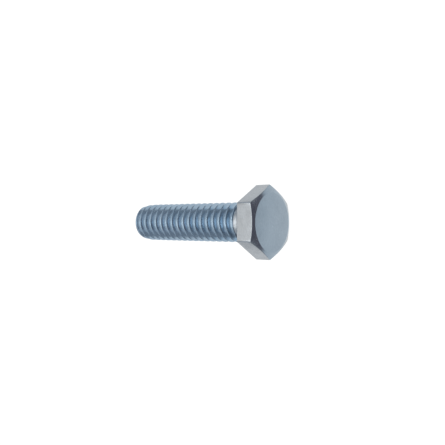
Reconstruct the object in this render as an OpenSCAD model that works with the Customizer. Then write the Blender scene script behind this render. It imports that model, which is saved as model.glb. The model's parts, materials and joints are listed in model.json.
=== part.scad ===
// Hexagon-head bolt, threaded to within two turns of the head, quarter inch coarse thread.
// The bolt lies along X: the head is on the +X side of the bearing face, which is at X = 0,
// and the point is at X = -bolt_l. Two of the hexagon's flats face +Z and -Z.
// The real bolt is forged and rolled from one length of wire. The four nodes are its regions,
// and they meet face to face.

/* [Head] */
// Width across the flats, the spanner size
across_flats = 10; // [9.6:0.1:11]
// Width across the corners, which forging leaves slightly rounded
across_corners = 11.34; // [11.1:0.02:11.5]
// Height of the head above its bearing face
head_h = 3; // [2.4:0.1:4.5]
// Diameter of the flat circle on top, inside the chamfer
top_circle_d = 9; // [8.4:0.02:9.5]
// Angle between the chamfer and the top face
chamfer_angle = 22; // [15:1:35]

/* [Neck] */
// Diameter of the unthreaded neck
neck_d = 6.0; // [5.6:0.05:6.2]
// Distance from the bearing face to the end of the thread's run-out
neck_l = 2.2; // [1.2:0.1:3]
// Radius of the fillet where the neck meets the head
fillet_r = 0.4; // [0.1:0.05:0.6]

/* [Thread] */
// Diameter over the crests
crest_d = 6.3; // [6.2:0.01:6.35]
// Distance between two turns, for 20 turns to the inch
pitch = 1.27; // [1.2:0.01:1.3]
// Depth of the groove below the crests
groove_depth = 0.755; // [0.6:0.005:0.8]
// Width of the land on each crest
crest_w = 0.16; // [0.1:0.01:0.2]
// Angle of each side of the groove, measured from square to the axis
flank_angle = 30; // [25:0.5:30]
// Place on the axis where a turn of the groove crosses the +Y side
groove_x = -4.63; // [-5:0.01:-4]
// Length over which the groove fades out towards the neck
runout_l = 0.5; // [0.4:0.1:2]

/* [Point] */
// Length of the bolt below its bearing face
bolt_l = 24.5; // [16:0.5:40]
// Length of the tapered point
point_l = 1.9; // [1.5:0.1:3]
// Diameter of the flat end
end_d = 4.9; // [4.4:0.1:5.2]
// Length of the bevel between the flat end and the tapered crests
bevel_l = 0.45; // [0.3:0.05:0.8]
// Diameter of the crests where that bevel ends
bevel_d = 5.8; // [5.6:0.05:6]

/* [Hidden] */

head_colour = "lightslategray";
shank_colour = "lightsteelblue";

// The neck is carried this far into the head, so the bearing face is a true ring
neck_root_l = 1.0;
fillet_steps = 6;
round_fn = 96;

crest_r = crest_d / 2;
groove_r = crest_r - groove_depth;
flank_w = groove_depth * tan(flank_angle);
groove_w = pitch - crest_w - 2 * flank_w;

// One turn's outline: distance along the turn from the start of a crest, then the radius there
turn_outline = [
    [0, crest_r],
    [crest_w, crest_r],
    [crest_w + flank_w, groove_r],
    [crest_w + flank_w + groove_w, groove_r],
    [pitch, crest_r]
];
turn_rows = len(turn_outline) - 1;
crest_x = groove_x - crest_w - flank_w - groove_w / 2;

// Largest radius at each place along the point, and smallest radius along the run-out
point_limit = [
    [-bolt_l, end_d / 2],
    [-bolt_l + bevel_l, bevel_d / 2],
    [-bolt_l + point_l, crest_r]
];
runout_limit = [
    [-neck_l - runout_l, 0],
    [-neck_l - runout_l + 0.001, groove_r],
    [-neck_l, neck_d / 2]
];

around = 48; // points in each turn

// Position along one turn, from 0 to pitch, of the place at x and angle a
function along_turn(x, a) =
    let (d = (x - crest_x) / pitch - a / 360) pitch * (d - floor(d));

// Radius of the bolt's surface at x and angle a
function thread_r(x, a) =
    max(min(lookup(along_turn(x, a), turn_outline), lookup(x, point_limit)), lookup(x, runout_limit));

// A length of the threaded shank between two flat ends. Its rows of points follow the helix,
// and a row that would pass an end stops on it.
module threaded_length(x_low, x_high) {
    first_turn = floor((x_low - crest_x) / pitch) - 1;
    last_turn = ceil((x_high - crest_x) / pitch);
    last_row = (last_turn - first_turn) * turn_rows;

    function row_x(row) =
        crest_x + (first_turn + floor(row / turn_rows)) * pitch + turn_outline[row % turn_rows][0];
    function surface_point(x, a) = [x, thread_r(x, a) * cos(a), thread_r(x, a) * sin(a)];

    // Number of the point in a row. The last step round joins the row one turn further on,
    // and all points that stop on an end share that end's own point.
    function point_no(row, step) =
        step == around ? point_no(row + turn_rows, 0) :
        let (x = row_x(row) + pitch * step / around)
        x <= x_low ? step : x >= x_high ? last_row * around + step : row * around + step;

    points = [
        for (row = [0:last_row], step = [0:around - 1])
            let (a = 360 * step / around, x = row_x(row) + pitch * step / around)
            surface_point(row == 0 ? x_low : row == last_row ? x_high : min(max(x, x_low), x_high), a)
    ];
    low_centre = len(points);
    high_centre = low_centre + 1;

    sides = [
        for (row = [0:last_row - 1], step = [0:around - 1])
            let (
                a = point_no(row, step), b = point_no(row, step + 1),
                c = point_no(row + 1, step + 1), d = point_no(row + 1, step)
            )
            each [[a, c, b], [a, d, c]]
    ];
    solid_sides = [for (f = sides) if (f[0] != f[1] && f[1] != f[2] && f[2] != f[0]) f];
    low_end = [for (s = [0:around - 1]) [low_centre, s, (s + 1) % around]];
    high_end = [
        for (s = [0:around - 1])
            [high_centre, last_row * around + (s + 1) % around, last_row * around + s]
    ];
    polyhedron(
        points = concat(points, [[x_low, 0, 0], [x_high, 0, 0]]),
        faces = concat(solid_sides, low_end, high_end)
    );
}

// Turns a solid of revolution from the Z axis to the X axis
module along_x() {
    rotate([0, 90, 0]) children();
}

module hex_head() {
    corner_r = across_corners / 2;
    corner_h = head_h - (corner_r - top_circle_d / 2) * tan(chamfer_angle);
    color(head_colour) along_x() difference() {
        intersection() {
            rotate([0, 0, 30]) cylinder(r = across_flats / 2 / cos(30), h = head_h, $fn = 6);
            rotate_extrude($fn = round_fn) polygon([
                [0, 0], [corner_r, 0], [corner_r, corner_h], [top_circle_d / 2, head_h], [0, head_h]
            ]);
        }
        translate([0, 0, -1]) cylinder(r = neck_d / 2 + fillet_r, h = 1 + neck_root_l, $fn = round_fn);
    }
}

module neck() {
    r = neck_d / 2;
    fillet = [
        for (i = [0:fillet_steps])
            let (t = 90 * i / fillet_steps)
            [r + fillet_r * (1 - cos(t)), fillet_r * (sin(t) - 1)]
    ];
    color(shank_colour) along_x() rotate_extrude($fn = round_fn) polygon(concat(
        [[0, -neck_l], [r, -neck_l]], fillet, [[r + fillet_r, neck_root_l], [0, neck_root_l]]
    ));
}

module thread() {
    color(shank_colour) threaded_length(-bolt_l + point_l, -neck_l);
}

module point() {
    color(shank_colour) threaded_length(-bolt_l, -bolt_l + point_l);
}

hex_head();
neck();
thread();
point();
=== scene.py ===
import json
import math

import bpy
import numpy as np
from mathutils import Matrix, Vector


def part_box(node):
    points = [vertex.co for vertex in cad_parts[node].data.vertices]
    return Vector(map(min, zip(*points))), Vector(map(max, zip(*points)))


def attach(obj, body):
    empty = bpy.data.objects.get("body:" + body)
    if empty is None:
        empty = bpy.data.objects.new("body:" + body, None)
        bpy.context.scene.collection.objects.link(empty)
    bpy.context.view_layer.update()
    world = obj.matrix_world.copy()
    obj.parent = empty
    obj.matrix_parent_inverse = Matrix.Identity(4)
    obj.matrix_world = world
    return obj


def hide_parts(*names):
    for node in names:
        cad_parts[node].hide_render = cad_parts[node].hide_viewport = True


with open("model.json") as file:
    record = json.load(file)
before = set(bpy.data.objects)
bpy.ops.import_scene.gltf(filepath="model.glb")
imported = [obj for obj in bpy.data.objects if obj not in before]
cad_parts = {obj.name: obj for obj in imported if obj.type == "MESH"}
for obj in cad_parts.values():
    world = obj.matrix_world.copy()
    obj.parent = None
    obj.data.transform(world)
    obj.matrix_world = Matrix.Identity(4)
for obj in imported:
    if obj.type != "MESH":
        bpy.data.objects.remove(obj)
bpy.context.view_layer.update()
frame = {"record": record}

MM = 0.001

# ---------------------------------------------------------------- sizes, in metres

mounts = {m["name"]: m for m in frame["record"]["mounts"]}
head_low, head_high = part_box("hex_head")
thread_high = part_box("thread")[1]
neck_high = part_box("neck")[1]

across_flats = head_high.z - head_low.z
across_corners = head_high.y - head_low.y
head_h = head_high.x
crest_r = thread_high.z
bolt_l = -mounts["point_end"]["pos_m"][0]
neck_r = mounts["neck"]["dims"]["r_mm"] * MM
neck_l = -thread_high.x
fillet_r = neck_high.z - neck_r
neck_root_l = neck_high.x
# The neck narrows a little from the thread's run-out to its waist
neck_waist_r = neck_r - 0.042 * MM
neck_waist_x = -1.5 * MM

# The values that part.scad states and the frame does not
pitch = 1.27 * MM
groove_depth = 0.755 * MM
crest_w = 0.16 * MM
flank_angle = math.radians(30)
groove_x = -4.63 * MM
runout_l = 0.5 * MM
top_circle_r = 4.5 * MM
chamfer_angle = math.radians(22)
end_r = 2.45 * MM
bevel_l = 0.45 * MM
bevel_r = 2.9 * MM
point_l = 1.9 * MM
# The point's taper runs on outwards to this radius at the bearing face, so it cuts no crest
clear_of_crests = crest_r + 1 * MM

# ---------------------------------------------------------------- mesh helpers


def new_piece(name, points, faces, material, node, sharp_from=50):
    """A mesh object that rides on the bolt and stands for the CAD node named.

    Edges are sharp where the faces turn by more degrees than sharp_from.
    """
    mesh = bpy.data.meshes.new(name)
    mesh.from_pydata([tuple(p) for p in points], [], faces)
    mesh.validate()
    mesh.polygons.foreach_set("use_smooth", [True] * len(mesh.polygons))
    mesh.set_sharp_from_angle(angle=math.radians(sharp_from))
    mesh.materials.append(material)
    piece = bpy.data.objects.new(name, mesh)
    bpy.context.scene.collection.objects.link(piece)
    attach(piece, "root")
    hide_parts(node)
    return piece


def ring_faces(rows, columns):
    """Faces between rings of points, with a fan over each end. The ends' centres are the last two points."""
    faces = []
    for i in range((rows - 1) * columns):
        after = i + 1 if (i + 1) % columns else i + 1 - columns
        faces.append([i, after, after + columns, i + columns])
    last = (rows - 1) * columns
    for s in range(columns):
        t = (s + 1) % columns
        faces.append([last + columns, t, s])
        faces.append([last + columns + 1, last + s, last + t])
    return faces


def weight_normals(piece):
    """Shades the large faces flat, and leaves the rounding to the small ones between them."""
    weighted = piece.modifiers.new("weighted_normals", "WEIGHTED_NORMAL")
    weighted.weight = 100
    weighted.keep_sharp = True


def smooth_min(a, b, width):
    """The smaller of a and b, with the corner between them rounded over width."""
    near = np.clip(width - np.abs(a - b), 0, None) / width
    return np.minimum(a, b) - near * near * width / 4


def smooth_max(a, b, width):
    return -smooth_min(-a, -b, width)


# ---------------------------------------------------------------- threaded shank

crest_round = 0.14 * MM
groove_round = 0.44 * MM
point_round = 0.08 * MM
runout_round = 0.05 * MM
thread_columns = 144
rows_per_turn = 28


def thread_radius(x, angle):
    """Radius of the shank at x and angle.

    It is the rounded thread, cut down along the point and filled up along the run-out.
    """
    turn = (x - groove_x) / pitch - angle / math.tau
    from_groove = np.abs(turn - np.round(turn)) * pitch
    slope = 1 / math.tan(flank_angle)
    groove_half = (pitch - crest_w) / 2 - groove_depth / slope
    groove_r = crest_r - groove_depth
    flank = groove_r + (from_groove - groove_half) * slope
    r = smooth_max(flank, groove_r, groove_round)
    r = smooth_min(r, crest_r, crest_round)
    point_x = [-bolt_l, -bolt_l + bevel_l, -bolt_l + point_l, 0]
    along_point = np.interp(x, point_x, [end_r, bevel_r, crest_r, clear_of_crests])
    r = smooth_min(r, along_point, point_round)
    along_runout = np.interp(x, [-neck_l - runout_l, -neck_l], [groove_r, neck_r])
    return smooth_max(r, np.where(x > -neck_l - runout_l, along_runout, 0), runout_round)


def on_shank(x, angle):
    r = thread_radius(x, angle)
    return np.stack([x, r * np.cos(angle), r * np.sin(angle)], -1)


def threaded_piece(name, x_low, x_high, material, node):
    """A length of the shank between two flat ends.

    Its rows of points follow the helix, and a row that would pass an end stops on it.
    """
    columns = thread_columns
    row_gap = pitch / rows_per_turn
    first = groove_x + math.floor((x_low - groove_x) / pitch - 1) * pitch
    last_row = math.ceil((x_high - first) / row_gap) + 1
    step = np.arange(columns)
    angle = math.tau * step / columns
    x = first + row_gap * np.arange(last_row + 1)[:, None] + pitch * step[None, :] / columns
    x[0] = x_low
    x[-1] = x_high
    number = np.arange(x.size).reshape(x.shape)
    number = np.where(x <= x_low, step[None, :], number)
    number = np.where(x >= x_high, last_row * columns + step[None, :], number)
    x = np.clip(x, x_low, x_high)
    points = on_shank(x, np.broadcast_to(angle, x.shape)).reshape(-1, 3)

    # The column after the last is the first, one turn further along
    ahead = np.minimum(np.arange(last_row + 1) + rows_per_turn, last_row)
    number = np.hstack([number, number[ahead, :1]])
    corners = np.stack([number[:-1, :-1], number[:-1, 1:], number[1:, 1:], number[1:, :-1]], -1)
    faces = []
    for quad in corners.reshape(-1, 4).tolist():
        face = [n for i, n in enumerate(quad) if n != quad[i - 1]]
        if len(set(face)) > 2:
            faces.append(face)
    low_centre = len(points)
    ends = [(x_low, 0, 0), (x_high, 0, 0)]
    for s in range(columns):
        t = (s + 1) % columns
        faces.append([low_centre, t, s])
        faces.append([low_centre + 1, last_row * columns + s, last_row * columns + t])

    used = sorted({n for face in faces for n in face})
    renumber = {n: i for i, n in enumerate(used)}
    points = np.vstack([points, ends])[used]
    faces = [[renumber[n] for n in face] for face in faces]
    set_shank_normals(new_piece(name, points, faces, material, node))


def set_shank_normals(piece):
    """Gives the round surface the thread's true normals, so that the pieces meet without a seam."""
    mesh = piece.data
    co = np.array([v.co for v in mesh.vertices])
    angle = np.arctan2(co[:, 2], co[:, 1])
    step_x = 0.004 * MM
    step_a = 0.002
    dx = on_shank(co[:, 0] + step_x, angle) - on_shank(co[:, 0] - step_x, angle)
    da = on_shank(co[:, 0], angle + step_a) - on_shank(co[:, 0], angle - step_a)
    normal = np.cross(da, dx)
    normal /= np.linalg.norm(normal, axis=1)[:, None]
    corner_normals = np.zeros((len(mesh.loops), 3))
    for face in mesh.polygons:
        on_end = abs(face.normal.x) > 0.999
        for corner in face.loop_indices:
            corner_normals[corner] = face.normal if on_end else normal[mesh.loops[corner].vertex_index]
    mesh.normals_split_custom_set(corner_normals.tolist())


# ---------------------------------------------------------------- neck

neck_columns = 128
waist_steps = 14
fillet_steps = 10


def neck_profile():
    """Radius and x along the neck, from the thread's end to the root inside the head."""
    profile = []
    for t in np.linspace(0, 1, waist_steps):
        r = neck_waist_r + (neck_r - neck_waist_r) * (1 + math.cos(math.pi * t)) / 2
        profile.append((r, -neck_l + t * (neck_l + neck_waist_x)))
    face_r = neck_r + fillet_r
    for t in np.linspace(0, math.pi / 2, fillet_steps):
        profile.append((face_r - (face_r - neck_waist_r) * math.cos(t), fillet_r * (math.sin(t) - 1)))
    return profile + [(face_r, neck_root_l)]


def turned_piece(name, profile, columns, material, node):
    """A solid of revolution about the bolt's axis, closed at both ends."""
    points = []
    for r, x in profile:
        for s in range(columns):
            a = math.tau * s / columns
            points.append((x, r * math.cos(a), r * math.sin(a)))
    points += [(profile[0][1], 0, 0), (profile[-1][1], 0, 0)]
    weight_normals(new_piece(name, points, ring_faces(len(profile), columns), material, node))


# ---------------------------------------------------------------- head

rear_edge_round = 0.12 * MM
chamfer_edge_round = 0.10 * MM
top_edge_round = 0.22 * MM
corner_r = across_corners / 2 + 0.05 * MM
flat_steps = 20
# In degrees. A rounded edge turns by less than this in one step, and a blunted corner turns by more
head_sharp_from = 25
# The chamfer is turned a little off the hexagon's centre
chamfer_centre = Vector((0, -0.06 * MM, 0))


def hexagon_outline():
    """Points round the hexagon as (y, z). A cylinder cuts off its corners. Flats face +Z and -Z."""
    cut = math.acos(across_flats / 2 / corner_r)
    from_middle = np.linspace(-cut, cut, flat_steps + 1)
    r = across_flats / 2 / np.cos(from_middle)
    outline = []
    for flat in range(6):
        angle = from_middle + math.radians(60 * flat + 30)
        outline += list(zip(r * np.cos(angle), r * np.sin(angle)))
    return outline


def rounded_path(corners, rounds, steps=5):
    """A path through corners with each inner corner rounded to its radius."""
    path = [corners[0]]
    for before, p, after, radius in zip(corners, corners[1:], corners[2:], rounds):
        back = (before - p).normalized()
        on = (after - p).normalized()
        half = back.angle(on) / 2
        reach = radius / math.tan(half)
        centre = p + (back + on).normalized() * radius / math.sin(half)
        start = (p + back * reach - centre).normalized()
        end = (p + on * reach - centre).normalized()
        for t in np.linspace(0, 1, steps):
            path.append(centre + start.slerp(end, t) * radius)
    path.append(corners[-1])
    return path


def head_piece(material):
    """The hexagon, with its chamfer, rounded edges and the socket that the neck's root fills."""
    inner_r = neck_r + fillet_r
    top_ring_r = 0.4 * MM
    columns = []
    for y, z in hexagon_outline():
        out = Vector((0, y, z))
        way = out.normalized()
        from_centre = out - chamfer_centre
        edge = Vector((head_h - (from_centre.length - top_circle_r) * math.tan(chamfer_angle), y, z))
        top = chamfer_centre + from_centre.normalized() * top_circle_r + Vector((head_h, 0, 0))
        middle = Vector((head_h, 0, 0)) + way * top_ring_r
        corners = [way * inner_r, out, edge, top, middle]
        path = rounded_path(corners, [rear_edge_round, chamfer_edge_round, top_edge_round])
        columns.append([way * inner_r + Vector((neck_root_l, 0, 0))] + path)
    rows = list(zip(*columns))
    points = [p for row in rows for p in row] + [(neck_root_l, 0, 0), (head_h, 0, 0)]
    faces = ring_faces(len(rows), len(columns))
    weight_normals(
        new_piece("hex_head_forged", points, faces, material, "hex_head", head_sharp_from)
    )


# ---------------------------------------------------------------- materials


def add_noise(tree, place, scale, detail, stretch=(1, 1, 1)):
    """A noise texture over the place given, with its own scale along each axis."""
    mapping = tree.nodes.new("ShaderNodeMapping")
    mapping.inputs["Scale"].default_value = stretch
    tree.links.new(place, mapping.inputs["Vector"])
    node = tree.nodes.new("ShaderNodeTexNoise")
    node.inputs["Scale"].default_value = scale
    node.inputs["Detail"].default_value = detail
    tree.links.new(mapping.outputs["Vector"], node.inputs["Vector"])
    return node.outputs["Fac"]


def add_ramp(tree, factor, stops):
    """A colour ramp on the factor, with stops as (position, colour)."""
    node = tree.nodes.new("ShaderNodeValToRGB")
    ramp = node.color_ramp
    while len(ramp.elements) < len(stops):
        ramp.elements.new(0.5)
    for element, (position, colour) in zip(ramp.elements, stops):
        element.position = position
        element.color = (*colour, 1)
    tree.links.new(factor, node.inputs["Fac"])
    return node.outputs["Color"]


def add_product(tree, first, second):
    """Two colours multiplied."""
    node = tree.nodes.new("ShaderNodeMix")
    node.data_type = "RGBA"
    node.blend_type = "MULTIPLY"
    node.inputs["Factor"].default_value = 1
    tree.links.new(first, node.inputs["A"])
    tree.links.new(second, node.inputs["B"])
    return node.outputs["Result"]


# About how many patches of each noise there are in a metre
cloud_scale = 420
line_scale = 900
grain_scale = 3800


def add_bump(tree, height, strength, depth):
    """A bump of the depth given, from the output of a node."""
    bump = tree.nodes.new("ShaderNodeBump")
    bump.inputs["Strength"].default_value = strength
    bump.inputs["Distance"].default_value = depth
    tree.links.new(height, bump.inputs["Height"])
    return bump


def zinc_plating(name, dark, light, roughness, marks):
    """Blue-white zinc over steel: cloudy colour, fine grain, and working marks stretched as marks says."""
    material = bpy.data.materials.new(name)
    material.use_nodes = True
    tree = material.node_tree
    shader = tree.nodes["Principled BSDF"]
    place = tree.nodes.new("ShaderNodeTexCoord").outputs["Object"]

    clouds = add_noise(tree, place, cloud_scale, 3)
    colour = add_ramp(tree, clouds, [(0.3, dark), (0.7, light)])
    grain = add_noise(tree, place, grain_scale, 2)
    speckle = add_ramp(tree, grain, [(0.3, (0.96, 0.96, 0.965)), (0.7, (1.02, 1.02, 1.015))])
    colour = add_product(tree, colour, speckle)

    lines = add_noise(tree, place, line_scale, 4, marks)
    polish = add_ramp(tree, lines, [(0.3, (roughness * 0.8,) * 3), (0.7, (roughness * 1.25,) * 3)])

    bump = add_bump(tree, lines, strength=0.35, depth=0.02 * MM)
    fine_bump = add_bump(tree, grain, strength=0.25, depth=0.006 * MM)
    tree.links.new(bump.outputs["Normal"], fine_bump.inputs["Normal"])

    shader.inputs["Metallic"].default_value = 1.0
    tree.links.new(colour, shader.inputs["Base Color"])
    tree.links.new(polish, shader.inputs["Roughness"])
    tree.links.new(fine_bump.outputs["Normal"], shader.inputs["Normal"])
    return material


head_zinc = zinc_plating(
    "zinc_on_forged_head", dark=(0.309, 0.338, 0.366), light=(0.345, 0.374, 0.402), roughness=0.22,
    marks=(1, 1, 1)
)
shank_zinc = zinc_plating(
    "zinc_on_rolled_thread", dark=(0.260, 0.355, 0.448), light=(0.316, 0.410, 0.503), roughness=0.23,
    marks=(1, 0.4, 0.4)
)

head_piece(head_zinc)
turned_piece("neck_plain", neck_profile(), neck_columns, head_zinc, "neck")
threaded_piece("thread_rolled", -bolt_l + point_l, -neck_l, shank_zinc, "thread")
threaded_piece("point_rolled", -bolt_l, -bolt_l + point_l, shank_zinc, "point")

# ---------------------------------------------------------------- table

# The bolt lies on the edge of its head and on its last full crest, so the table is square to neither axis
tilt = math.atan2(across_flats / 2 - crest_r, bolt_l - point_l)
table_size = 1.2


def on_table(x, gap):
    """The place on the table under x on the bolt's axis, lifted by the gap."""
    return (x, 0, -across_flats / 2 - x * math.tan(tilt) + gap)


def glowing(name, colour, strength, base):
    """A matt material that gives off light of one colour."""
    material = bpy.data.materials.new(name)
    material.use_nodes = True
    shader = material.node_tree.nodes["Principled BSDF"]
    shader.inputs["Base Color"].default_value = (base, base, base, 1)
    shader.inputs["Roughness"].default_value = 0.9
    shader.inputs["Specular IOR Level"].default_value = 0.0
    shader.inputs["Emission Color"].default_value = (*colour, 1)
    shader.inputs["Emission Strength"].default_value = strength
    return material


def shade_along(material, stops):
    """Makes the colour of a glowing sheet run along its width from stop to stop."""
    tree = material.node_tree
    along = tree.nodes.new("ShaderNodeSeparateXYZ")
    tree.links.new(tree.nodes.new("ShaderNodeTexCoord").outputs["Generated"], along.inputs["Vector"])
    colour = add_ramp(tree, along.outputs["X"], stops)
    tree.links.new(colour, tree.nodes["Principled BSDF"].inputs["Emission Color"])


def sheet(name, width, height, place, rotation, material, seen=True):
    """A flat studio sheet. One that isn't seen shows only in what the bolt reflects."""
    w, h = width / 2, height / 2
    mesh = bpy.data.meshes.new(name)
    mesh.from_pydata([(-w, -h, 0), (w, -h, 0), (w, h, 0), (-w, h, 0)], [], [(0, 1, 2, 3)])
    mesh.materials.append(material)
    item = bpy.data.objects.new(name, mesh)
    item.location = place
    item.rotation_euler = rotation
    item.visible_camera = seen
    item.visible_diffuse = seen
    item.visible_shadow = seen
    bpy.context.scene.collection.objects.link(item)


table_glow = glowing("lit_table", (1, 1, 1), strength=0.92, base=0.15)
sheet("table", table_size, table_size, on_table(0, -0.01 * MM), (0, tilt, 0), table_glow)

# ---------------------------------------------------------------- light

# A blue-grey card lies on the table where the top face reflects, and turns dark further from the head
card_near = 2.7 * MM
card_far = 33 * MM
card_w = 44 * MM
card_dark = (0.14, 0.14, 0.18)
card_colours = [
    (0, (0.92, 1.02, 1.10)),
    (0.27, (0.76, 0.90, 1.01)),
    (0.38, (0.17, 0.17, 0.22)),
    (1, card_dark),
]
card_glow = glowing("blue_to_dark_card", card_dark, strength=1, base=0.02)
shade_along(card_glow, card_colours)
sheet(
    "table_card", card_far - card_near, card_w, on_table((card_near + card_far) / 2, 0.05 * MM),
    (0, tilt, 0), card_glow, seen=False
)
# A dark card stands at its far end, where the chamfer and the thread's flanks reflect
standing_card_h = 38 * MM
standing_card_place = (card_far + 1 * MM, 0, 11 * MM)
sheet(
    "standing_card", standing_card_h, card_w, standing_card_place, (0, math.pi / 2, 0),
    glowing("dark_card", card_dark, strength=1, base=0.02), seen=False
)

# Low grey cards stand on both sides, where the shank would reflect the far table
side_card_l = 84 * MM
side_card_h = 14 * MM
side_card_x = -8 * MM
side_card_z = 1 * MM
side_grey = glowing("grey_card", (0.335, 0.36, 0.403), strength=1, base=0.02)
for name, y in [("upper_side_card", 21 * MM), ("lower_side_card", -18 * MM)]:
    place = (side_card_x, y, side_card_z)
    sheet(name, side_card_l, side_card_h, place, (math.pi / 2, 0, 0), side_grey, seen=False)

# The room is bright overhead and dark at the horizon. A dimmer band part way up shades the thread's sides
sky_stops = [
    (0.00, (0.26, 0.28, 0.31)),
    (0.20, (0.45, 0.49, 0.56)),
    (0.38, (0.84, 0.89, 0.95)),
    (0.55, (0.62, 0.65, 0.69)),
    (0.76, (1.00, 1.00, 1.00)),
    (1.00, (1.04, 1.04, 1.04)),
]
world = bpy.data.worlds.new("studio")
bpy.context.scene.world = world
world.use_nodes = True
sky = world.node_tree
direction = sky.nodes.new("ShaderNodeSeparateXYZ")
sky.links.new(sky.nodes.new("ShaderNodeTexCoord").outputs["Generated"], direction.inputs["Vector"])
sky.links.new(add_ramp(sky, direction.outputs["Z"], sky_stops), sky.nodes["Background"].inputs["Color"])


softbox_distance = 150 * MM


def softbox(name, towards, across, along, radiance, colour):
    """A rectangular light facing the bolt from the direction given, with sides across and along the bolt."""
    data = bpy.data.lights.new(name, "AREA")
    data.shape = "RECTANGLE"
    data.size = across
    data.size_y = along
    data.energy = radiance * math.pi * across * along
    data.color = colour
    item = bpy.data.objects.new(name, data)
    way = Vector(towards).normalized()
    item.location = way * softbox_distance
    item.rotation_euler = way.to_track_quat("Z", "Y").to_euler()
    item.visible_camera = False
    bpy.context.scene.collection.objects.link(item)


overhead = (-0.34, 0, 0.94)
near_white = (1.0, 0.98, 0.96)
softbox("overhead_wide", overhead, across=170 * MM, along=30 * MM, radiance=3.0, colour=near_white)
softbox("overhead_narrow", overhead, across=80 * MM, along=28 * MM, radiance=4.7, colour=near_white)
softbox("head_side", (0.35, 0, 0.94), across=90 * MM, along=60 * MM, radiance=0.8, colour=near_white)
softbox("warm_key", (-0.66, 0, 0.75), across=80 * MM, along=50 * MM, radiance=0.18, colour=(1.0, 0.75, 0.5))

# ---------------------------------------------------------------- camera

view_angle = math.radians(38.85)
bearing_depth = 87.07 * MM
bearing_right = 5.198 * MM
bearing_up = 0.039 * MM

camera_data = bpy.data.cameras.new("camera")
camera_data.sensor_width = 36
camera_data.lens = 45.76
camera_data.clip_start = 1 * MM
camera_data.clip_end = 10
camera = bpy.data.objects.new("camera", camera_data)
camera.rotation_euler = (0, view_angle, 0)
right = Vector((math.cos(view_angle), 0, -math.sin(view_angle)))
up = Vector((0, 1, 0))
back = Vector((math.sin(view_angle), 0, math.cos(view_angle)))
camera.location = back * bearing_depth - right * bearing_right - up * bearing_up
bpy.context.scene.collection.objects.link(camera)
bpy.context.scene.camera = camera
bpy.context.scene.view_settings.view_transform = "Standard"
